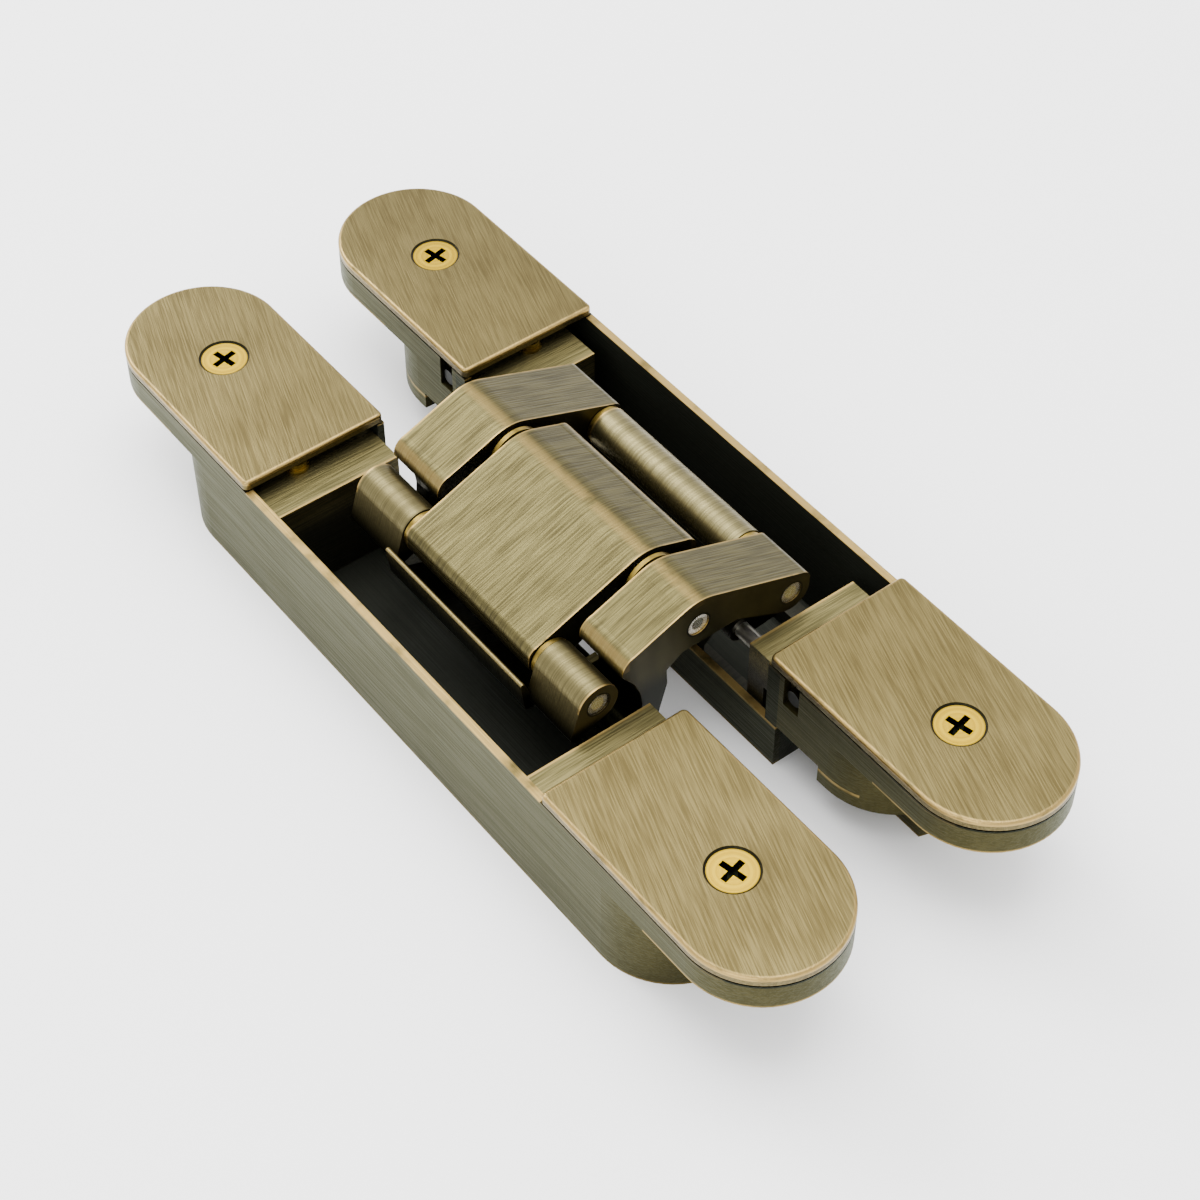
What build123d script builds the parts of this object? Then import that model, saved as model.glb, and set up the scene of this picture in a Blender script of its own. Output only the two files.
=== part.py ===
from build123d import *
from math import hypot
import os

os.makedirs("parts", exist_ok=True)

# Concealed door hinge, shown fully open: two cases lie side by side with their faces up
# and a roof-shaped scissor linkage arches from one to the other.
# X runs along the cases, Y from the frame case (negative) to the door case (positive), Z up from the bottoms.

# Cases
face_length = 180.0
body_width = 28.0
body_depth = 25.0
case_pitch = 45.0
cap_thickness = 2.0
flange_thickness = 5.2
deep_length = 140.0
wall = 1.4
floor_thickness = 1.5
cap_inner_edge = 41.0
cap_edge_round = 0.6
cap_seam = 0.3
cap_corner_round = 1.0
cap_screw_x = 69.5
cap_screw_shaft = 2.0
cap_screw_head = 4.4
cap_screw_recess = 0.3
cap_screw_length = 4.8
mounting_hole_x = 81.5
mounting_hole_radius = 2.4
mounting_sink_radius = 4.6
deep_pocket_half = 42.0
end_pocket_half = 54.0
end_pocket_depth = 11.0
band_height = 9.4
box_half = 43.6
shallow_height = 10.0
boss_height = 6.5
boss_start = 54.0
step_width = 9.0
notch_start = 44.9
notch_width = 3.6
notch_depth = 6.2

# Carriers
lug_edge = 34.5
lug_end = 50.0
lug_drop = 2.2
lug_upper_height = 7.4
lug_lower_end = 38.4
lug_width = 24.6
right_lug_width = 21.8
carrier_gap = 0.3
rail_width = 3.4
rail_height = 3.4
cheek_thickness = 1.5
adjuster_x = 43.2
adjuster_radius = 2.2
adjuster_offset = 2.6
thread_pitch = 1.0
thread_depth = 0.35
side_screw_radius = 1.5
side_screw_reach = 1.2
side_screw_height = 19.2

# Linkage, measured across from the middle plane and up from the bottom of the cases
fixed_reach = 12.19
fixed_height = 13.0
link_reach = 12.754
link_height = 17.971
knuckle_reach = 19.3
knuckle_height = 25.8
centre_height = 31.4
ridge_height = 37.3
ridge_round = 8.0
shoulder_round = 2.4
roof_slope = 0.385
outer_roof_end = 14.9
centre_roof_end = 10.4
eye_radius = 2.95
link_eye_radius = 2.4
barrel_radius = 3.8
roof_run = 2.2
lip_radius = 0.45
pin_radius = 2.0
link_pin_radius = 1.4
pin_clearance = 0.05
pin_recess = 0.3

far_arm = (-28.0, -15.4)
centre_arm_span = (-13.0, 20.4)
near_arm = (22.6, 33.6)
left_barrels = ((-27.4, -14.2), (21.6, 33.2))
left_web = (-14.6, 22.4)
left_lip_rise = -1.2
right_lip_rise = -6.0
left_eye = (-13.1, 20.5)
right_barrel = (-14.4, 21.6)
right_web = (-22.0, 29.5)
right_eyes = ((-22.0, -15.3), (22.5, 29.5))
left_cheeks = (-14.9, 20.8)
right_cheeks = (-14.9, 20.7)
pin_end = 37.5
washer_thickness = 0.8
washer_radius = 3.6
centre_washer_radius = 5.0

top = body_depth
rim = top - cap_thickness
half_pitch = case_pitch / 2
half_width = body_width / 2
inner_half = half_width - wall
flange_bottom = rim - flange_thickness


# One case, open towards +Y, with its middle on the origin
def case_shape():
    with BuildPart() as case:
        with BuildSketch(Plane.XY.offset(flange_bottom)):
            SlotOverall(face_length, body_width)
        extrude(amount=flange_thickness)
        with BuildSketch(Plane.XY):
            SlotOverall(deep_length, body_width)
        extrude(amount=rim)
        # Deep pocket for the linkage and shallower pockets for the adjusters under the caps
        with BuildSketch(Plane.XY.offset(floor_thickness)):
            Rectangle(2 * deep_pocket_half, 2 * inner_half)
        extrude(amount=rim, mode=Mode.SUBTRACT)
        with BuildSketch(Plane.XY.offset(rim - end_pocket_depth)):
            Rectangle(2 * end_pocket_half, 2 * inner_half)
        extrude(amount=end_pocket_depth, mode=Mode.SUBTRACT)
        # The wall that faces the other case is cut down to a low band
        with BuildSketch(Plane.XY.offset(band_height)):
            with Locations((0, inner_half + wall)):
                Rectangle(2 * cap_inner_edge, 2 * wall + 1)
        extrude(amount=rim, mode=Mode.SUBTRACT)
        # Beyond the deep box the same side is raised in two steps
        for end in (-1, 1):
            with BuildSketch(Plane.XY):
                with Locations((end * (box_half + boss_start) / 2, half_width - step_width / 2 + 1)):
                    Rectangle(boss_start - box_half, step_width + 2)
            extrude(amount=shallow_height, mode=Mode.SUBTRACT)
            with BuildSketch(Plane.XY):
                with Locations((end * (boss_start + deep_length / 2) / 2, half_width - step_width / 2 + 1)):
                    Rectangle(deep_length / 2 - boss_start + 2, step_width + 2)
            extrude(amount=boss_height, mode=Mode.SUBTRACT)
            with BuildSketch(Plane.XY.offset(rim - notch_depth)):
                with Locations((end * (notch_start + notch_width / 2), half_width)):
                    Rectangle(notch_width, 2 * wall + 1)
            extrude(amount=notch_depth, mode=Mode.SUBTRACT)
        # Holes for the cap screws and for the wood screws that fix the case
        with BuildSketch(Plane.XY.offset(rim - cap_screw_length)):
            with Locations((-cap_screw_x, 0), (cap_screw_x, 0)):
                Circle(cap_screw_shaft + pin_clearance)
        extrude(amount=cap_screw_length, mode=Mode.SUBTRACT)
        with BuildSketch(Plane.XY.offset(flange_bottom)):
            with Locations((-mounting_hole_x, 0), (mounting_hole_x, 0)):
                Circle(mounting_hole_radius)
        extrude(amount=flange_thickness, mode=Mode.SUBTRACT)
        sink = mounting_sink_radius - mounting_hole_radius
        with Locations((-mounting_hole_x, 0, rim - sink / 2), (mounting_hole_x, 0, rim - sink / 2)):
            Cone(mounting_hole_radius, mounting_sink_radius, sink, mode=Mode.SUBTRACT)
    return case.part


# One cover cap at the +X end
def cap_shape():
    with BuildPart() as cap:
        with BuildSketch(Plane.XY.offset(rim)):
            SlotOverall(face_length, body_width)
            with Locations((cap_inner_edge - face_length / 2, 0)):
                Rectangle(face_length, body_width + 2, mode=Mode.SUBTRACT)
        extrude(amount=cap_thickness)
        inner_corners = cap.edges().filter_by(Axis.Z).group_by(Axis.X)[0]
        fillet(inner_corners, cap_corner_round)
        fillet(cap.faces().sort_by(Axis.Z)[-1].outer_wire().edges(), cap_edge_round)
        chamfer(cap.faces().sort_by(Axis.Z)[0].outer_wire().edges(), cap_seam)
        with Locations((cap_screw_x, 0, top - cap_thickness / 2)):
            Cylinder(cap_screw_shaft + pin_clearance, cap_thickness, mode=Mode.SUBTRACT)
            Cone(cap_screw_shaft + pin_clearance, cap_screw_head + pin_clearance, cap_thickness, mode=Mode.SUBTRACT)
    return cap.part


# The two countersunk cross-head screws of one case
def cap_screws():
    with BuildPart() as screws:
        for end in (-1, 1):
            with BuildSketch(Plane.XY.offset(rim - cap_screw_length + 1)):
                with Locations((end * cap_screw_x, 0)):
                    Circle(cap_screw_shaft)
            extrude(amount=cap_screw_length)
            head_height = cap_thickness - cap_screw_recess
            head_radius = cap_screw_shaft + (cap_screw_head - cap_screw_shaft) * head_height / cap_thickness
            with Locations((end * cap_screw_x, 0, rim + head_height / 2)):
                Cone(cap_screw_shaft, head_radius, head_height)
            with BuildSketch(Plane.XY.offset(top - 1.8)):
                with Locations((end * cap_screw_x, 0)):
                    Rectangle(4.6, 1.1, rotation=12)
                    Rectangle(1.1, 4.6, rotation=12)
            extrude(amount=2, mode=Mode.SUBTRACT)
    return screws.part


# A round pin along X at a distance from the middle plane and a height
def pin_shape(span, y, z, radius):
    with BuildPart() as pin:
        with BuildSketch(Plane.YZ.offset(span[0])):
            with Locations((y, z)):
                Circle(radius)
        extrude(amount=span[1] - span[0])
    return pin.part


# Two brass rings around one pin line, each with its own span along X
def washer_pair(starts, y, z, radius, bore):
    with BuildPart() as rings:
        for start in starts:
            with BuildSketch(Plane.YZ.offset(start)):
                with Locations((y, z)):
                    Circle(radius)
                    Circle(bore, mode=Mode.SUBTRACT)
            extrude(amount=washer_thickness)
    return rings.part


# An arm of the scissor: its leg stands in the case on one side (-1 frame, +1 door),
# its roof crosses the middle plane and ends in a knuckle over the other case
def arm_shape(side, span, roof_end, centre_bore, knuckle_bore):
    def at(reach, height):
        return (side * reach, height)

    leg_x = fixed_reach
    slope_at_end = ridge_height - roof_slope * roof_end
    # The roof runs out tangent to the knuckle and rounds down over its nose
    knuckle = (ridge_height - roof_slope * knuckle_reach - knuckle_height) / hypot(1, roof_slope)
    nose = knuckle_reach + roof_run
    slope_at_nose = ridge_height - roof_slope * nose
    nose_top = at(-nose, slope_at_nose)
    nose_middle = at(-nose - 1.25, slope_at_nose - 0.87)
    nose_foot = at(-nose - 1.6, slope_at_nose - 2.1)
    round_reach = ridge_round * roof_slope / hypot(1, roof_slope)
    shoulder = at(roof_end - shoulder_round, slope_at_end + roof_slope * shoulder_round)
    shoulder_middle = at(roof_end - 0.25 * shoulder_round, slope_at_end - 0.05 * shoulder_round)
    shoulder_foot = at(roof_end, slope_at_end - shoulder_round)
    with BuildPart() as arm:
        with BuildSketch(Plane.YZ.offset(span[0])):
            with BuildLine():
                ThreePointArc(
                    at(-round_reach, ridge_height - roof_slope * round_reach),
                    at(0, ridge_height - ridge_round * (hypot(1, roof_slope) - 1)),
                    at(round_reach, ridge_height - roof_slope * round_reach),
                )
                Line(at(round_reach, ridge_height - roof_slope * round_reach), shoulder)
                ThreePointArc(shoulder, shoulder_middle, shoulder_foot)
                Polyline(
                    shoulder_foot,
                    at((roof_end + leg_x) / 2 - 1.0, fixed_height + 13.0),
                    at(leg_x - 0.8, fixed_height + 10.0),
                    at(leg_x - 1.2, fixed_height + 7.5),
                    at(leg_x - 1.0, fixed_height + 5.0),
                    at(leg_x + 1.0, fixed_height + 2.2),
                    at(leg_x - 2.3, fixed_height - 1.6),
                    at(leg_x - 4.6, fixed_height + 2.8),
                    at(leg_x - 6.2, fixed_height + 8.8),
                    at(leg_x - 6.0, centre_height - 6.4),
                    at(3.0, centre_height - 4.3),
                    at(-8.0, centre_height - 4.2),
                    at(-knuckle_reach + 1.4, knuckle_height - knuckle + 0.1),
                    at(-knuckle_reach, knuckle_height),
                    at(-knuckle_reach - knuckle + 0.3, knuckle_height - 0.3),
                    nose_foot,
                )
                ThreePointArc(nose_foot, nose_middle, nose_top)
                Line(nose_top, at(-round_reach, ridge_height - roof_slope * round_reach))
            make_face()
            with Locations(at(-knuckle_reach, knuckle_height)):
                Circle(knuckle)
            with Locations(at(fixed_reach, fixed_height)):
                Circle(eye_radius)
            with Locations(at(fixed_reach, fixed_height)):
                Circle(pin_radius + pin_clearance, mode=Mode.SUBTRACT)
            with Locations(at(0, centre_height)):
                Circle(centre_bore, mode=Mode.SUBTRACT)
            with Locations(at(-knuckle_reach, knuckle_height)):
                Circle(knuckle_bore, mode=Mode.SUBTRACT)
        extrude(amount=span[1] - span[0])
    return arm.part


# A link: barrels over the knuckle line, a lipped web and eyes on the fixed link pin
def link_shape(side, barrels, web, eyes, bore, lip_rise):
    def at(reach, height):
        return (side * reach, height)

    lip = at(knuckle_reach + 5.0 + 0.26 * (lip_rise + 7), knuckle_height + lip_rise)
    heel = at(knuckle_reach + 5.2, knuckle_height - 6.1)
    tail = at(knuckle_reach + 4.4, knuckle_height - 4.8)
    bend = at(knuckle_reach + 0.2, knuckle_height - 8.3)
    with BuildPart() as link:
        for span in barrels:
            with BuildSketch(Plane.YZ.offset(span[0])):
                with Locations(at(knuckle_reach, knuckle_height)):
                    Circle(barrel_radius)
                with Locations(tail):
                    Circle(1.0)
                make_hull()
            extrude(amount=span[1] - span[0])
        with BuildSketch(Plane.YZ.offset(web[0])):
            with Locations(lip):
                Circle(lip_radius)
            with Locations(heel):
                Circle(1.1)
            make_hull()
        extrude(amount=web[1] - web[0])
        # Each lever bends below the knuckle that turns over it
        for span in eyes:
            for tip, radius in ((heel, 1.1), (at(link_reach, link_height), link_eye_radius)):
                with BuildSketch(Plane.YZ.offset(span[0])):
                    with Locations(tip):
                        Circle(radius)
                    with Locations(bend):
                        Circle(1.3)
                    make_hull()
                extrude(amount=span[1] - span[0])
            with BuildSketch(Plane.YZ.offset(span[0])):
                with Locations(at(link_reach, link_height)):
                    Circle(link_pin_radius + pin_clearance)
            extrude(amount=span[1] - span[0], mode=Mode.SUBTRACT)
        for span in barrels:
            with BuildSketch(Plane.YZ.offset(span[0])):
                with Locations(at(knuckle_reach, knuckle_height)):
                    Circle(bore)
            extrude(amount=span[1] - span[0], mode=Mode.SUBTRACT)
    return link.part


# A carrier: two lugs under the caps, rails along the floor and cheeks that hold the fixed pins
def carrier_shape(side, width, cheeks, pins, link_pins, screw_offset):
    partner_face = half_pitch - inner_half + carrier_gap
    far_face = partner_face + width
    middle = side * (partner_face + far_face) / 2
    base = floor_thickness + carrier_gap
    lug_top = rim - lug_drop
    far_rail = half_pitch + inner_half - carrier_gap - rail_width / 2 - (lug_width - width)
    with BuildPart() as carrier:
        for end in (-1, 1):
            with BuildSketch(Plane.XY.offset(lug_top - lug_upper_height)):
                with Locations((end * (lug_edge + lug_end) / 2, middle)):
                    Rectangle(lug_end - lug_edge, width)
            extrude(amount=lug_upper_height)
            with BuildSketch(Plane.XY.offset(base)):
                with Locations((end * (lug_edge + lug_lower_end) / 2, middle)):
                    Rectangle(lug_lower_end - lug_edge, width)
            extrude(amount=lug_top - base)
        with BuildSketch(Plane.XY.offset(base)):
            with Locations((0, side * far_rail)):
                Rectangle(2 * lug_edge, rail_width)
        extrude(amount=rail_height)
        with BuildSketch(Plane.XY.offset(base)):
            with Locations((0, side * (partner_face + 2.3))):
                Rectangle(2 * lug_edge, 4.6)
        extrude(amount=1.6)
        for start in cheeks:
            with BuildSketch(Plane.YZ.offset(start)):
                with BuildLine():
                    Polyline(
                        (side * partner_face, base),
                        (side * partner_face, band_height + carrier_gap),
                        (side * (fixed_reach - 3.2), band_height + 2 * carrier_gap),
                        (side * (fixed_reach - 3.2), fixed_height + 4.0),
                        (side * (link_reach - 2.3), link_height + 2.7),
                        (side * (link_reach + 1.6), link_height + 2.7),
                        (side * (link_reach + 2.6), link_height),
                        (side * (fixed_reach + 2.6), fixed_height),
                        (side * (fixed_reach + 1.2), fixed_height - 2.7),
                        (side * (partner_face + 1.1), fixed_height - 4.8),
                        (side * (partner_face + 1.1), base),
                        (side * partner_face, base),
                    )
                make_face()
            extrude(amount=cheek_thickness)
        for span in pins:
            with BuildSketch(Plane.YZ.offset(span[0])):
                with Locations((side * fixed_reach, fixed_height)):
                    Circle(pin_radius + pin_clearance)
            extrude(amount=span[1] - span[0], mode=Mode.SUBTRACT)
        for span in link_pins:
            with BuildSketch(Plane.YZ.offset(span[0])):
                with Locations((side * link_reach, link_height)):
                    Circle(link_pin_radius + pin_clearance)
            extrude(amount=span[1] - span[0], mode=Mode.SUBTRACT)
        # Clearance holes for the upright adjusting screws
        screw_y = side * half_pitch + screw_offset
        with BuildSketch(Plane.XY.offset(lug_top - lug_upper_height)):
            with Locations((-adjuster_x, screw_y), (adjuster_x, screw_y)):
                Circle(adjuster_radius + pin_clearance)
        extrude(amount=lug_upper_height, mode=Mode.SUBTRACT)
    return carrier.part


# Two upright adjusting screws, ringed with thread above their shafts
def adjusting_screws(y):
    foot = rim - lug_drop - lug_upper_height + 0.4
    head = rim - 0.4
    turns = int((head - foot) / thread_pitch)
    with BuildPart() as screws:
        for end in (-1, 1):
            with BuildSketch(Plane.XY.offset(foot)):
                with Locations((end * adjuster_x, y)):
                    Circle(adjuster_radius - thread_depth)
            extrude(amount=head - foot)
            for turn in range(turns):
                with BuildSketch(Plane.XY.offset(foot + turn * thread_pitch)):
                    with Locations((end * adjuster_x, y)):
                        Circle(adjuster_radius)
                extrude(amount=0.55 * thread_pitch)
            with BuildSketch(Plane.XY.offset(head)):
                with Locations((end * adjuster_x, y)):
                    Rectangle(adjuster_radius, 0.7)
            extrude(amount=-1.0, mode=Mode.SUBTRACT)
    return screws.part


# The sideways screw of the door carrier, seen in the notch of the case wall
def side_screws(face_y):
    with BuildPart() as screws:
        for end in (-1, 1):
            with BuildSketch(Plane.XZ.offset(-face_y - 5.0)):
                with Locations((end * (notch_start + notch_width / 2), side_screw_height)):
                    Circle(side_screw_radius)
            extrude(amount=5.0 + side_screw_reach)
    return screws.part


def placed(shape, side):
    turn = 0 if side < 0 else 180
    return shape.moved(Location((0, side * half_pitch, 0), (0, 0, turn)))


def write(shape, name):
    shape.label = name
    export_step(shape, "parts/" + name + ".step")


case = case_shape()
near_cap = cap_shape()
far_cap = near_cap.moved(Location((0, 0, 0), (0, 0, 180)))
screws = cap_screws()
write(placed(case, -1), "left_case")
write(placed(case, 1), "right_case")
write(placed(near_cap, -1), "left_near_cap")
write(placed(far_cap, -1), "left_far_cap")
write(placed(far_cap, 1), "right_near_cap")
write(placed(near_cap, 1), "right_far_cap")
write(placed(screws, -1), "left_cap_screws")
write(placed(screws, 1), "right_cap_screws")

# The frame carrier holds the arms outside its cheeks and the link between them,
# the door carrier holds the wide arm between its cheeks and the link outside them
left_inner = left_cheeks[0] + cheek_thickness
right_outer = right_cheeks[1] + cheek_thickness
left_fixed = ((-pin_end, left_inner), (left_cheeks[1], pin_end))
left_link_pin = ((left_cheeks[0], left_cheeks[1] + cheek_thickness),)
right_fixed = ((right_cheeks[0], right_outer),)
right_link_pins = ((-pin_end, right_cheeks[0] + cheek_thickness), (right_cheeks[1], pin_end))

left_carrier = carrier_shape(-1, lug_width, left_cheeks, left_fixed, left_link_pin, -adjuster_offset)
right_carrier = carrier_shape(1, right_lug_width, right_cheeks, right_fixed, right_link_pins, adjuster_offset - 1)
right_face = half_pitch - inner_half + carrier_gap
with BuildPart() as right_tapped:
    add(right_carrier)
    for end in (-1, 1):
        with BuildSketch(Plane.XZ.offset(-right_face - 5.0)):
            with Locations((end * (notch_start + notch_width / 2), side_screw_height)):
                Circle(side_screw_radius + pin_clearance)
        extrude(amount=5.0, mode=Mode.SUBTRACT)
write(left_carrier, "left_carrier")
write(right_tapped.part, "right_carrier")
write(adjusting_screws(-half_pitch - adjuster_offset), "left_adjusting_screws")
write(adjusting_screws(half_pitch + adjuster_offset - 1), "right_adjusting_screws")
write(side_screws(right_face), "right_side_screws")

bore = pin_radius + pin_clearance
write(arm_shape(-1, far_arm, outer_roof_end, bore, bore), "far_outer_arm")
write(arm_shape(-1, near_arm, outer_roof_end, bore, bore), "near_outer_arm")
write(arm_shape(1, centre_arm_span, centre_roof_end, bore, bore), "centre_arm")
write(link_shape(-1, left_barrels, left_web, (left_eye,), bore, left_lip_rise), "left_link")
write(link_shape(1, (right_barrel,), right_web, right_eyes, bore, right_lip_rise), "right_link")

# Pins
knuckle_y = knuckle_reach
centre_pin = pin_shape((far_arm[0] + pin_recess, near_arm[1] - pin_recess), 0, centre_height, pin_radius)
write(centre_pin, "centre_pin")
with BuildPart() as left_stubs:
    add(pin_shape((left_barrels[0][0] + pin_recess, centre_arm_span[0] - 0.2), -knuckle_y, knuckle_height, pin_radius))
    add(pin_shape((centre_arm_span[1] + 0.2, left_barrels[1][1] - pin_recess), -knuckle_y, knuckle_height, pin_radius))
write(left_stubs.part, "left_knuckle_pins")
write(pin_shape(centre_arm_span, -knuckle_y, knuckle_height, pin_radius), "centre_arm_knuckle_pin")
with BuildPart() as right_stubs:
    add(pin_shape((far_arm[0] + pin_recess, right_barrel[0] - 0.1), knuckle_y, knuckle_height, pin_radius))
    add(pin_shape((right_barrel[1] + 0.1, near_arm[1] - pin_recess), knuckle_y, knuckle_height, pin_radius))
write(right_stubs.part, "right_knuckle_pins")
write(pin_shape(right_barrel, knuckle_y, knuckle_height, pin_radius), "right_barrel_pin")
write(pin_shape(left_fixed[0], -fixed_reach, fixed_height, pin_radius), "left_far_fixed_pin")
write(pin_shape(left_fixed[1], -fixed_reach, fixed_height, pin_radius), "left_near_fixed_pin")
write(pin_shape(left_link_pin[0], -link_reach, link_height, link_pin_radius), "left_link_pin")
write(pin_shape(right_fixed[0], fixed_reach, fixed_height, pin_radius), "right_fixed_pin")
with BuildPart() as right_link_axles:
    add(pin_shape(right_link_pins[0], link_reach, link_height, link_pin_radius))
    add(pin_shape(right_link_pins[1], link_reach, link_height, link_pin_radius))
write(right_link_axles.part, "right_link_pins")

# Washers
centre_rings = (far_arm[1] + 0.8, centre_arm_span[1] + 0.7)
write(washer_pair(centre_rings, 0, centre_height, centre_washer_radius, bore), "centre_washers")
left_rings = (centre_arm_span[0] - 0.2 - washer_thickness, centre_arm_span[1] + 0.2)
write(washer_pair(left_rings, -knuckle_y, knuckle_height, washer_radius, bore), "left_knuckle_washers")
right_rings = (right_barrel[0] - 0.1 - washer_thickness, right_barrel[1] + 0.1)
write(washer_pair(right_rings, knuckle_y, knuckle_height, washer_radius, bore), "right_knuckle_washers")
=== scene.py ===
# %% [markdown]
# # Concealed door hinge, fully open
# The real hinge is cast zinc in two cases, joined by folding arms, and plated in antique bronze.
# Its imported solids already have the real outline, so they all stay as they are. What Blender adds is
# the finish of each piece, and the view of the photograph. First the hinge is loaded and measured.

import math

import bmesh
import bpy
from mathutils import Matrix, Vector


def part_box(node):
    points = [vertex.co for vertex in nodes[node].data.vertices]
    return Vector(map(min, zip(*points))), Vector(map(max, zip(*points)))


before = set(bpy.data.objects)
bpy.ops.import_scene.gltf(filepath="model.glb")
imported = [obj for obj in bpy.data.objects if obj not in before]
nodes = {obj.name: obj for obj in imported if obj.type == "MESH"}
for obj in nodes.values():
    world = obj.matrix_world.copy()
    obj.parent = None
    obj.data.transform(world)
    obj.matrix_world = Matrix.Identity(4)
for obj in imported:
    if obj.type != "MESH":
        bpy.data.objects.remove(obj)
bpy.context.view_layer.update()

# %% [markdown]
# ## Sizes that the finishes follow
# A worn edge has to lie on the real edge. The finishes read each point's place on the hinge, so the few
# sizes that they need are written once here, in millimetres, in the frame of the hinge: X along the
# cases, Y from the frame case to the door case, Z up.

# %% Sizes
MM = 1000.0
CASE_Y = 22.5
HALF_WIDTH = 14.0
HALF_LENGTH = 90.0
ROUND_CENTRE = HALF_LENGTH - HALF_WIDTH
CAP_START = 41.0
TOP = 25.0
RIM = 23.0
FLANGE_BOTTOM = 17.8
SCREW_X = 69.5
KNUCKLE = (19.3, 25.8)
CENTRE = (0.0, 31.4)
print("cases are", 2 * HALF_LENGTH, "by", 2 * HALF_WIDTH, "mm")

# %% [markdown]
# ## Shader maths as plain expressions
# A node tree drawn by hand soon hides its own formula. Here a Field wraps one socket and takes Python's
# operators, so that a mask reads as the sum that it is, and each operator adds its Math node.

# %% Fields
class Field:
    def __init__(self, look, socket):
        self.look = look
        self.socket = socket

    def __add__(self, other):
        return self.look.maths("ADD", self, other)

    def __sub__(self, other):
        return self.look.maths("SUBTRACT", self, other)

    def __rsub__(self, other):
        return self.look.maths("SUBTRACT", other, self)

    def __mul__(self, other):
        return self.look.maths("MULTIPLY", self, other)

    def __truediv__(self, other):
        return self.look.maths("DIVIDE", self, other)

    __radd__ = __add__
    __rmul__ = __mul__

    def __pow__(self, power):
        return self.look.maths("POWER", self, power)

    def __abs__(self):
        return self.look.maths("ABSOLUTE", self)

    def over(self, edge):
        return self.look.maths("GREATER_THAN", self, edge)

    def under(self, edge):
        return self.look.maths("LESS_THAN", self, edge)

    def least(self, other):
        return self.look.maths("MINIMUM", self, other)

    def most(self, other):
        return self.look.maths("MAXIMUM", self, other)

    def sine(self):
        return self.look.maths("SINE", self)

    def fade(self, start, end):
        """0 at start and 1 at end, smoothly."""
        inputs = {"Value": self, "From Min": start, "From Max": end}
        made = self.look.node("ShaderNodeMapRange", inputs, interpolation_type="SMOOTHSTEP")
        return Field(self.look, made.outputs["Result"])


print("fields ready")

# %% [markdown]
# ## One material, and the method that makes its nodes
# A Look owns one material. It starts with the place of each point on the piece, from Object coordinates,
# because those ride with the piece when the hinge folds. Every node comes from one method, which sets the
# node's settings first and then the values or links of its sockets.

# %% Looks
BUMP_HEIGHT = 0.0001
WHITE = (1.0, 1.0, 1.0)


class Look:
    def __init__(self, name):
        self.material = bpy.data.materials.new(name)
        self.material.use_nodes = True
        self.tree = self.material.node_tree
        self.shader = self.tree.nodes["Principled BSDF"]
        place = self.node("ShaderNodeTexCoord").outputs["Object"]
        parts = self.node("ShaderNodeSeparateXYZ", {"Vector": place})
        self.x, self.y, self.z = (Field(self, parts.outputs[axis]) * MM for axis in "XYZ")

    def node(self, kind, inputs=None, **settings):
        made = self.tree.nodes.new(kind)
        for name, value in settings.items():
            setattr(made, name, value)
        for socket, value in (inputs or {}).items():
            self.join(value, made.inputs[socket])
        return made

    def join(self, value, socket):
        """Link a field or an output to a socket, or put a plain value on it."""
        if isinstance(value, Field):
            self.tree.links.new(value.socket, socket)
        elif hasattr(value, "links"):
            self.tree.links.new(value, socket)
        elif isinstance(value, tuple):
            socket.default_value = (*value, 1.0)
        else:
            socket.default_value = value

    def maths(self, operation, *values):
        made = self.node("ShaderNodeMath", dict(enumerate(values)), operation=operation)
        return Field(self, made.outputs[0])

    def noise(self, x, y, z, detail=3.0):
        """Soft noise from 0 to 1 of three fields."""
        where = self.node("ShaderNodeCombineXYZ", {"X": x, "Y": y, "Z": z})
        inputs = {"Vector": where.outputs[0], "Scale": 1.0, "Detail": detail, "Roughness": 0.55}
        return Field(self, self.node("ShaderNodeTexNoise", inputs).outputs[0])

    def mix(self, share, first, second):
        """A colour that goes from first to second as share goes from 0 to 1."""
        inputs = {0: share, 6: first, 7: second}
        made = self.node("ShaderNodeMix", inputs, data_type="RGBA", clamp_factor=True)
        return Field(self, made.outputs[2])

    def distance(self, first, second):
        return (first * first + second * second) ** 0.5

    def angle(self, across, up):
        return self.maths("ARCTAN2", up, across)

    def finish(self, colour, rough, metal=1.0, height=None, strength=0.3, edge_tint=WHITE):
        values = {"Base Color": colour, "Roughness": rough, "Metallic": metal, "Specular Tint": edge_tint}
        if height is not None:
            inputs = {"Strength": strength, "Distance": BUMP_HEIGHT, "Height": height}
            values["Normal"] = self.node("ShaderNodeBump", inputs).outputs[0]
        for socket, value in values.items():
            self.join(value, self.shader.inputs[socket])
        return self.material


print("looks ready")

# %% [markdown]
# ## The colours of the plating
# Antique bronze is brass plating, darkened and then brushed back: brown in the grain, pale where the brush
# took the dark off and gold on worn edges. The near black is painted shade for the deep places between the
# parts, and the dark of the joints. One brown with noise on it would look like paint, so every finish mixes
# the same few metals by where the brush went.

# %% Colours
BROWN = (0.052, 0.038, 0.013)
BRONZE = (0.105, 0.082, 0.032)
PALE = (0.165, 0.130, 0.050)
DARK_GREY = (0.034, 0.028, 0.012)
GREY_BRONZE = (0.066, 0.057, 0.023)
GREY_PALE = (0.112, 0.095, 0.037)
LUG_PALE = (0.145, 0.122, 0.050)
OLIVE = (0.030, 0.029, 0.010)
GOLD = (0.360, 0.245, 0.080)
# near black: painted shade in deep places between parts, and the dark of joints
SHADE_AND_JOINT_BLACK = (0.004, 0.005, 0.003)
print("plating colours ready")

# %% [markdown]
# ## Brush lines, uneven brushing and rubbed edges
# A brushed face has lines that are long one way and fine the other. A wave pattern would be too regular,
# so the lines are noise, stretched along the brush: fine lines, finer hairs, and broad bands under them.

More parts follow.
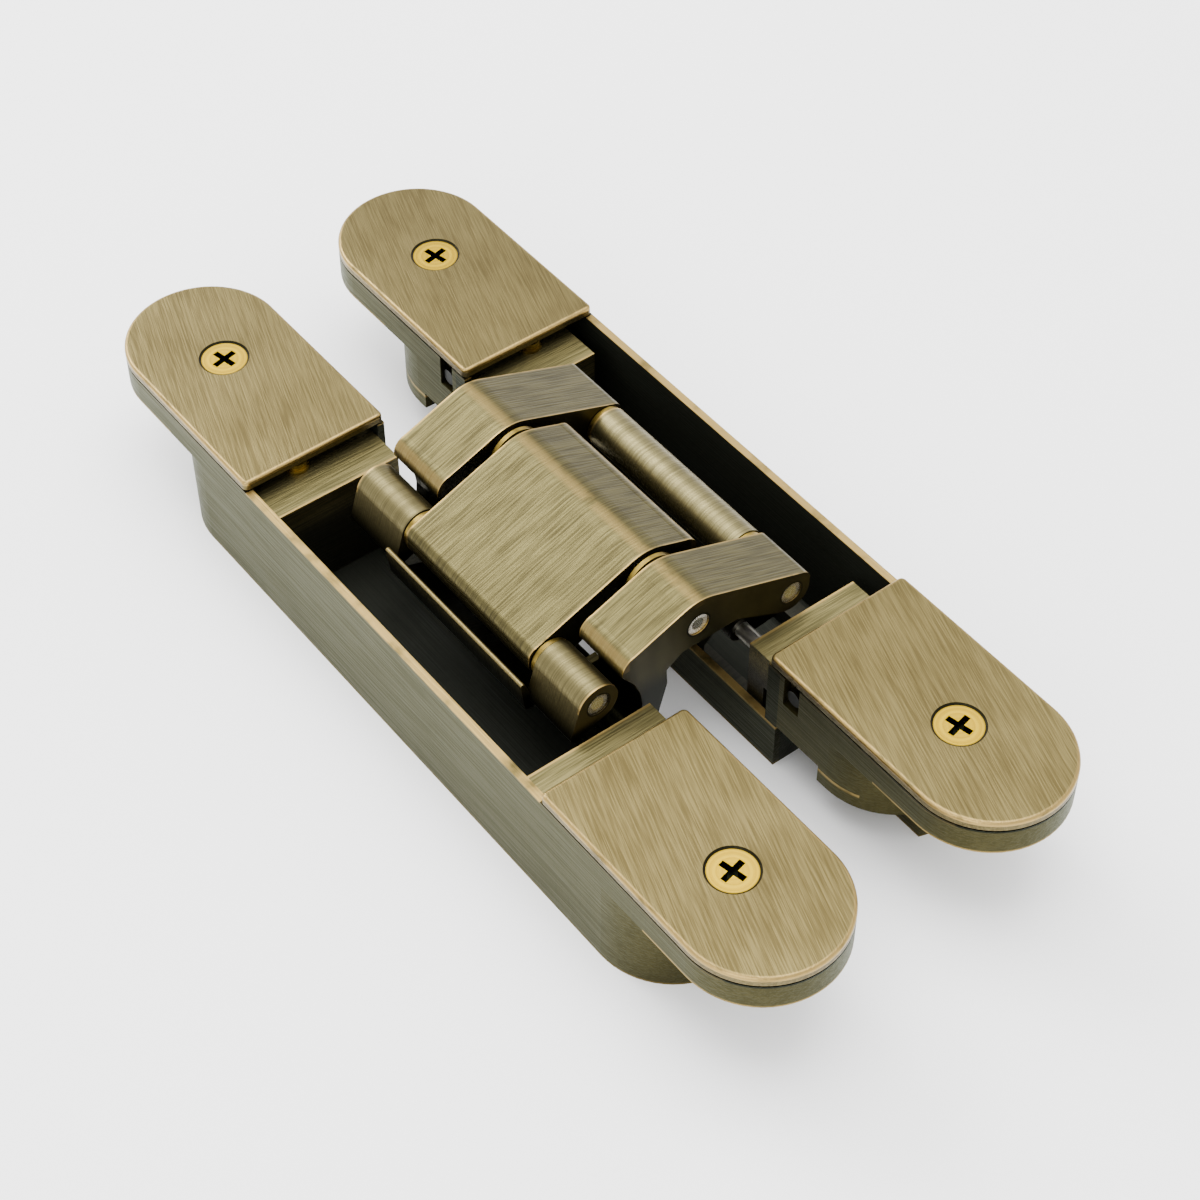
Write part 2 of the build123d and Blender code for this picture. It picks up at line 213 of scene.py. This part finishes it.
# %% Brushing
def grain(look, along, across, third, length=9.0, fine=2.6):
    """Brushed grain, 0 to 1: length is how long the lines are, and fine how close they lie."""
    lines = look.noise(along / length, across * fine, third * fine, 1.0)
    hair = fine * 2.3
    hairs = look.noise(along / length * 1.6, across * hair, third * hair, 1.0)
    band = fine / 5.0
    bands = look.noise(along / length / 1.5, across * band, third * band, 1.0)
    return (lines * 0.45 + hairs * 0.35 + bands * 0.2).fade(0.36, 0.64)


def patches(look, size):
    """Uneven brushing over a whole face, 0 to 1."""
    return look.noise(look.x / size, look.y / size, look.z / size, 2.0).fade(0.3, 0.7)


def rubbed(look, size, upright, start=0.25):
    """How far an edge is rubbed bare, 0 to 1, in patches of a size along and a size upright."""
    return look.noise(look.x / size, look.y / size, look.z / upright).fade(start, 0.5)


print("brushing ready")

# %% [markdown]
# ## Cover caps
# The caps are thin plates, brushed aslant to their length. The rim of each face is rubbed to gold, and the
# joint below it and the countersink round the screw stay black. The distance to the cap's own outline, a
# rounded end and a straight one, tells where the rim is, so no mask has to be painted.

# %% Caps
CAP_BRUSH_TURN = math.radians(-19.0)
CAP_FACE = TOP - 0.75
CAP_JOINT = RIM + 0.32
COUNTERSINK = 4.55


def from_outline(look, across):
    """Distance from the middle line of a case, or from the centre of its round end."""
    beyond = (abs(look.x) - ROUND_CENTRE).most(0.0)
    return look.distance(beyond, across)


def cap_look(name, side, end):
    look = Look(name)
    across = look.y - side * CASE_Y
    edge = (HALF_WIDTH - from_outline(look, across)).least(abs(look.x) - CAP_START)
    cosine, sine = math.cos(CAP_BRUSH_TURN), math.sin(CAP_BRUSH_TURN)
    along = look.x * cosine + look.y * sine
    aside = look.y * cosine - look.x * sine
    brushed = grain(look, along, aside, look.z)
    worn = edge.fade(0.75, 0.2) * look.z.over(CAP_FACE) * rubbed(look, 5.0, 1.0)
    from_screw = look.distance(look.x - end * SCREW_X, across)
    sunk = from_screw.under(COUNTERSINK) * look.z.under(TOP - 0.03)
    colour = look.mix(brushed * 0.72 + patches(look, 14.0) * 0.28, BROWN, PALE)
    colour = look.mix(0.35, colour, BRONZE)
    colour = look.mix(worn * 0.8, colour, GOLD)
    colour = look.mix((sunk + look.z.under(CAP_JOINT)).least(1.0) * 0.93, colour, SHADE_AND_JOINT_BLACK)
    return look.finish(colour, 0.46 - brushed * 0.1 - worn * 0.08, 1.0, brushed, 0.22)


for side, word in ((-1, "left"), (1, "right")):
    for end, place in ((1, "near"), (-1, "far")):
        cap = nodes[f"{word}_{place}_cap"]
        cap.data.materials[0] = cap_look(f"{word} {place} cap bronze", side, end)
print("4 caps done")

# %% [markdown]
# ## Cap screws
# The four cross-head screws are yellow brass, turned on a lathe, so their tone goes in faint rings round
# their own middle. The cross is black as painted shade in its recess, and the rim of the head holds the
# dark that the plating left.

# %% Cap screws
BRASS = (0.440, 0.290, 0.008)
DEEP_BRASS = (0.320, 0.200, 0.006)
HEAD_RIM = (3.75, 4.1)
CROSS_DEPTH = 0.42


def cap_screw_look(name, side):
    look = Look(name)
    away = look.distance(abs(look.x) - SCREW_X, look.y - side * CASE_Y)
    turned = look.noise(away * 2.2, 0.0, look.z).fade(0.3, 0.7)
    colour = look.mix(turned, DEEP_BRASS, BRASS)
    # painted shade: the recessed cross goes black
    colour = look.mix(look.z.under(TOP - CROSS_DEPTH), colour, SHADE_AND_JOINT_BLACK)
    colour = look.mix(away.fade(*HEAD_RIM) * 0.75, colour, BROWN)
    return look.finish(colour, 0.36 + turned * 0.1, 1.0, turned, 0.15)


for side, word in ((-1, "left"), (1, "right")):
    nodes[f"{word}_cap_screws"].data.materials[0] = cap_screw_look(f"{word} cap screw brass", side)
print("cap screws done")

# %% [markdown]
# ## Cases
# The outside of each casting is brushed along its length. The rim of the pocket, the edges of the flanges
# and the step below the window are worn to gold. The pocket is black all the way down, the inner wall in
# the window is darkened and the case under the caps is black, all as painted shade. A grazing look at a
# wall shows the white room in it, so the tint of the edge reflection is held a little below white.

# %% Cases
POCKET = (54.1, 12.68)
WINDOW_HALF = 43.8
WALL_FACE = 12.55
STEP = 9.4
OLIVE_EDGE = (0.84, 0.88, 0.82)


def case_look(name, side):
    look = Look(name)
    across = look.y - side * CASE_Y
    inward = across * -side
    brushed = grain(look, look.x, look.y, look.z, 16.0, 1.8)
    upright = grain(look, look.z, look.x, look.y, 7.0)
    # painted shade: the pocket is black all the way down, and dulled a little
    pocket_shade = abs(across).under(POCKET[1]) * abs(look.x).under(POCKET[0]) * look.z.under(RIM - 0.12)
    rim = look.z.fade(RIM - 0.55, RIM - 0.1) * abs(across).fade(12.2, 12.7)
    flange = abs(look.z - FLANGE_BOTTOM).fade(0.5, 0.1) * from_outline(look, across).fade(13.2, 13.7)
    flange = flange * abs(look.x).over(66.0)
    step = look.z.fade(STEP - 0.6, STEP - 0.05) * look.z.under(STEP + 0.2) * inward.over(12.5)
    foot = look.z.fade(0.6, 0.05)
    worn = rim.most(flange).most(step).most(foot * 0.5) * rubbed(look, 6.0, 3.0, 0.2)
    # painted shade on the inner wall in the window, between the two cases
    window_shade = inward.over(WALL_FACE) * abs(look.x).under(WINDOW_HALF) * (1.0 - worn)
    # painted shade under the caps
    under_cap_shade = abs(look.x).over(CAP_START) * look.z.over(RIM - 0.35)
    colour = look.mix(brushed * 0.5 + upright * 0.3, BROWN, BRONZE)
    colour = look.mix(0.7, colour, OLIVE)
    colour = look.mix(window_shade * 0.7, colour, SHADE_AND_JOINT_BLACK)
    colour = look.mix(worn * 0.75, colour, GOLD)
    colour = look.mix(under_cap_shade * 0.9, colour, SHADE_AND_JOINT_BLACK)
    colour = look.mix(pocket_shade * 0.94, colour, SHADE_AND_JOINT_BLACK)
    rough = 0.5 - brushed * 0.1 + pocket_shade * 0.15
    return look.finish(colour, rough, 1.0 - pocket_shade * 0.4, brushed, 0.25, OLIVE_EDGE)


for side, word in ((-1, "left"), (1, "right")):
    nodes[f"{word}_case"].data.materials[0] = case_look(f"{word} case bronze", side)
print("2 cases done")

# %% [markdown]
# ## Carriers
# Only the lugs of a carrier come up to the light, in front of the caps, and the brush has reached them. The
# rails and cheeks below lie deep in the hinge, so one fade by height paints their shade, from pale lug to
# black.

# %% Carriers
LUG_EDGE = 34.6
LUG_TOP = (20.3, 20.7)
LUG_SHADE = (19.5, 14.0)


def carrier_look(name):
    look = Look(name)
    brushed = grain(look, look.y, look.x, look.z)
    # painted shade: darker towards the bottom, deep in the hinge
    depth_shade = look.z.fade(*LUG_SHADE)
    top_edge = look.z.fade(*LUG_TOP) * abs(abs(look.x) - LUG_EDGE).fade(0.5, 0.15)
    colour = look.mix(brushed, GREY_BRONZE, LUG_PALE)
    colour = look.mix(top_edge * 0.6, colour, GOLD)
    colour = look.mix(depth_shade * 0.9, colour, SHADE_AND_JOINT_BLACK)
    return look.finish(colour, 0.5 - brushed * 0.1, 1.0 - depth_shade * 0.4, brushed, 0.22)


for word in ("left", "right"):
    nodes[f"{word}_carrier"].data.materials[0] = carrier_look(f"{word} carrier bronze")
print("2 carriers done")

# %% [markdown]
# ## Arms
# The arms are brushed across the hinge, over the ridge. Their ends, the ridge and the shoulders are rubbed,
# and the gold on the ridge and the shoulders is also a painted highlight; a dark ring of old plating stays
# round each pin. The end faces and the arms low down, towards the cases, get painted shade. The end faces
# are told from the edges beside them by how far a point lies in from the end of the piece, so both come
# from one measure of its box.

# %% Arms
FACE = 0.015
PIN_RING = 2.15
RIDGE_LOW = 35.5
SHOULDER_LOW = 30.0
ARM_SHADE = (27.5, 22.0)
OUTER_ROOF_END = 14.9
CENTRE_ROOF_END = 10.4


def from_ends(look, node):
    """Distance in from the nearer end of a piece along X."""
    low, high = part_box(node)
    return (look.x - low.x * MM).least(high.x * MM - look.x)


def end_wear(away, width):
    """1 just inside both ends of a piece, and 0 on the end faces themselves."""
    return away.fade(width, width * 0.25) * away.over(FACE)


def pin_ring(look, y, z):
    """1 on a ring round a pin."""
    return abs(look.distance(look.y - y, look.z - z) - PIN_RING).fade(0.35, 0.1)


def arm_look(name, node, side, roof_end):
    look = Look(name)
    brushed = grain(look, look.y, look.x, 0.0)
    away = from_ends(look, node)
    end_face_shade = away.under(FACE)
    ring = pin_ring(look, *CENTRE).most(pin_ring(look, -side * KNUCKLE[0], KNUCKLE[1]))
    # the gold on the shoulders and the ridge is partly rubbing and partly a painted highlight on the
    # rounded bends
    shoulder_highlight = abs(look.y * side - (roof_end - 0.7)).fade(0.9, 0.2) * look.z.over(SHOULDER_LOW)
    ridge = abs(look.y).fade(1.6, 0.2) * look.z.over(RIDGE_LOW)
    worn = (end_wear(away, 0.45) * 0.9).most(shoulder_highlight * 0.45).most(ridge * 0.35) * rubbed(look, 4.0, 4.0)
    colour = look.mix(brushed * 0.8 + patches(look, 7.0) * 0.2, DARK_GREY, GREY_PALE)
    colour = look.mix(0.2, colour, GREY_BRONZE)
    colour = look.mix(worn * 0.8, colour, GOLD)
    # painted shade on the end faces between the parts, with the ring of old plating round each pin
    colour = look.mix(end_face_shade * 0.45 + end_face_shade * ring * 0.5, colour, SHADE_AND_JOINT_BLACK)
    # painted shade: darker towards the bottom, down into the cases
    colour = look.mix(look.z.fade(*ARM_SHADE) * 0.9, colour, SHADE_AND_JOINT_BLACK)
    return look.finish(colour, 0.42 - brushed * 0.1, 1.0, brushed, 0.25)


ARMS = (
    ("far_outer_arm", -1, OUTER_ROOF_END),
    ("near_outer_arm", -1, OUTER_ROOF_END),
    ("centre_arm", 1, CENTRE_ROOF_END),
)
for node, side, roof_end in ARMS:
    nodes[node].data.materials[0] = arm_look(node.replace("_", " ") + " bronze", node, side, roof_end)
print(len(ARMS), "arms done")

# %% [markdown]
# ## Links
# A link is one casting: its barrels come up between the arms, and its web goes down into the dark, which is
# painted shade, as are the parts round the bore and the end faces. The barrels are brushed round, so their
# lines run with the turn and lie close along X. The long barrel of the right link catches more light, so it
# gets the paler colour of the two as painted light.

# %% Links
BARREL_REACH = 3.9
BORE_REACH = 2.35
LINK_SHADE = (24.4, 21.0)
LIP_TOP = (24.55, 24.85)
LIP_REACH = 5.2
# painted light: the right barrel catches more light, so its pale colour is brighter
BARREL_PAINTED_LIGHT = {"left": (0.150, 0.126, 0.055), "right": (0.205, 0.175, 0.080)}


def link_look(name, word, side):
    look = Look(name)
    away = look.distance(look.y - side * KNUCKLE[0], look.z - KNUCKLE[1])
    inside = from_ends(look, f"{word}_link")
    brushed = grain(look, look.y + look.z, look.x, 0.0, 30.0, 2.2)
    worn = end_wear(inside, 0.5) * away.under(BARREL_REACH)
    lip = look.z.fade(*LIP_TOP) * away.over(LIP_REACH)
    # painted shade: darker towards the bottom, round the bore and on the end faces
    link_shade = look.z.fade(*LINK_SHADE).most(away.under(BORE_REACH)).most(inside.under(FACE) * 0.4)
    colour = look.mix(brushed * 0.45 + 0.4, DARK_GREY, BARREL_PAINTED_LIGHT[word])
    colour = look.mix((worn * 0.85).most(lip * 0.15), colour, GOLD)
    colour = look.mix(link_shade * 0.92, colour, SHADE_AND_JOINT_BLACK)
    return look.finish(colour, 0.42 - brushed * 0.08, 1.0, brushed, 0.2)


for side, word in ((-1, "left"), (1, "right")):
    nodes[f"{word}_link"].data.materials[0] = link_look(f"{word} link bronze", word, side)
print("2 links done")

# %% [markdown]
# ## Pins
# The pins are bright steel, knurled near the rim so that they hold in the castings. On an end face that is
# a ring of fine teeth, and their roots are painted shade. A sine of the angle round the pin gives them, and
# works at any size of the face.

# %% Pins
STEEL = (0.780, 0.760, 0.680)
TOOTH_ROOT_SHADE = (0.015, 0.015, 0.010)
TEETH = 22.0
KNURL_RING = (1.0, 1.5)


def pin_look(name, y, z):
    look = Look(name)
    across, up = look.y - y, look.z - z
    teeth = (look.angle(across, up) * TEETH).sine() * 0.5 + 0.5
    knurl = teeth * look.distance(across, up).fade(*KNURL_RING)
    dust = look.noise(look.x, look.y * 1.4, look.z * 1.4).fade(0.35, 0.65)
    # painted shade in the roots of the teeth
    colour = look.mix(knurl * 0.6, STEEL, TOOTH_ROOT_SHADE)
    colour = look.mix(dust * 0.12, colour, GOLD)
    return look.finish(colour, 0.24 + knurl * 0.2, 1.0, 1.0 - knurl, 0.6)


PIN_LINES = {
    "centre_pin": CENTRE,
    "left_knuckle_pins": (-KNUCKLE[0], KNUCKLE[1]),
    "centre_arm_knuckle_pin": (-KNUCKLE[0], KNUCKLE[1]),
    "right_knuckle_pins": KNUCKLE,
    "right_barrel_pin": KNUCKLE,
}
for node, (y, z) in PIN_LINES.items():
    nodes[node].data.materials[0] = pin_look(node.replace("_", " ") + " steel", y, z)
HIDDEN_PINS = (
    "left_far_fixed_pin",
    "left_near_fixed_pin",
    "left_link_pin",
    "right_fixed_pin",
    "right_link_pins",
)
plain_pin = pin_look("hidden pin steel", 0.0, 0.0)
for node in HIDDEN_PINS:
    nodes[node].data.materials[0] = plain_pin
print(len(PIN_LINES) + len(HIDDEN_PINS), "pins done")

# %% [markdown]
# ## Washers and adjusting screws
# The washers and the upright adjusting screws are plain brass, in soft patches of tone. The roots of a
# thread get painted shade, which a sine of the height with the thread's own pitch shows on a plain shank.
# The side screws lie along Y, deep in a notch, so their colour is painted shade: dark threads with only a
# little brown.

# %% Brass parts
WASHER_DARK = (0.130, 0.090, 0.020)
WASHER_PALE = (0.260, 0.180, 0.035)
THREAD_TURN = 2 * math.pi


def brass_look(name, threaded=False):
    look = Look(name)
    tone = look.noise(look.x / 2.0, look.y / 2.0, look.z / 2.0).fade(0.3, 0.7)
    colour = look.mix(tone, WASHER_DARK, WASHER_PALE)
    if threaded:
        # painted shade in the roots of the thread
        thread_root_shade = abs((look.z * THREAD_TURN).sine()).fade(0.5, 0.1)
        colour = look.mix(thread_root_shade * 0.6, colour, BROWN)
    return look.finish(colour, 0.34 + tone * 0.08)


def side_screw_look(name):
    look = Look(name)
    # painted shade: the brass screws lie deep in a notch, so they go black with brown crests
    ridge = abs((look.y * THREAD_TURN).sine())
    return look.finish(look.mix(ridge * 0.5, SHADE_AND_JOINT_BLACK, BROWN), 0.4)


washer = brass_look("washer brass")
for node in ("centre_washers", "left_knuckle_washers", "right_knuckle_washers"):
    nodes[node].data.materials[0] = washer
threaded_brass = brass_look("threaded brass", True)
for node in ("left_adjusting_screws", "right_adjusting_screws"):
    nodes[node].data.materials[0] = threaded_brass
nodes["right_side_screws"].data.materials[0] = side_screw_look("side screw in painted shade")
print("washers and screws done")

# %% [markdown]
# ## Floor
# The hinge lies on a plain pale floor.

# %% Floor
FLOOR_HALF = 6.0
FLOOR_WHITE = (0.93, 0.93, 0.93)
floor_mesh = bpy.data.meshes.new("floor")
sheet = bmesh.new()
bmesh.ops.create_grid(sheet, x_segments=1, y_segments=1, size=FLOOR_HALF)
sheet.to_mesh(floor_mesh)
sheet.free()
floor = bpy.data.objects.new("floor", floor_mesh)
bpy.context.scene.collection.objects.link(floor)
floor_mesh.materials.append(Look("floor white").finish(FLOOR_WHITE, 0.9, 0.0))
print("floor of", 2 * FLOOR_HALF, "m")

# %% [markdown]
# ## Room and lights
# Brushed metal shows what stands round it. A white room gives it an even tone to mirror, and three large
# soft lights model the form: one over the hinge, one from behind on the left and a weak one in front.

# %% Lights
ROOM_STRENGTH = 2.2
SOFTBOXES = (
    ("over", (-0.1, 0.1, 1.0), 0.9, 16.0),
    ("behind left", (-0.9, -0.1, 0.7), 0.6, 14.0),
    ("front", (0.5, -0.9, 0.6), 0.6, 7.0),
)
world = bpy.data.worlds.new("white room")
world.use_nodes = True
room = world.node_tree.nodes["Background"]
room.inputs["Color"].default_value = (*WHITE, 1.0)
room.inputs["Strength"].default_value = ROOM_STRENGTH
bpy.context.scene.world = world
for name, place, size, watts in SOFTBOXES:
    lamp = bpy.data.lights.new(name, "AREA")
    lamp.shape = "SQUARE"
    lamp.size = size
    lamp.energy = watts
    held = bpy.data.objects.new(name, lamp)
    held.location = place
    held.rotation_euler = (-Vector(place)).to_track_quat("-Z", "Y").to_euler()
    bpy.context.scene.collection.objects.link(held)
print(len(SOFTBOXES), "softboxes")

# %% [markdown]
# ## Camera
# The camera stands where the photograph's did. Its place was fitted to the outlines of the four caps, which
# a guess by eye wouldn't match, because a wrong distance shows at once in the two parallel cases.

# %% Camera
LENS_MM = 78.8
SENSOR_MM = 36.0
STANDS_AT = (0.2382, -0.1772, 0.3364)
LOOKS_ALONG = Vector((-0.5306, 0.4094, -0.7422))
lens = bpy.data.cameras.new("camera")
lens.lens = LENS_MM
lens.sensor_width = SENSOR_MM
lens.clip_start = 0.01
camera = bpy.data.objects.new("camera", lens)
camera.location = STANDS_AT
camera.rotation_euler = LOOKS_ALONG.to_track_quat("-Z", "Y").to_euler()
bpy.context.scene.collection.objects.link(camera)
bpy.context.scene.camera = camera
print("camera at", STANDS_AT)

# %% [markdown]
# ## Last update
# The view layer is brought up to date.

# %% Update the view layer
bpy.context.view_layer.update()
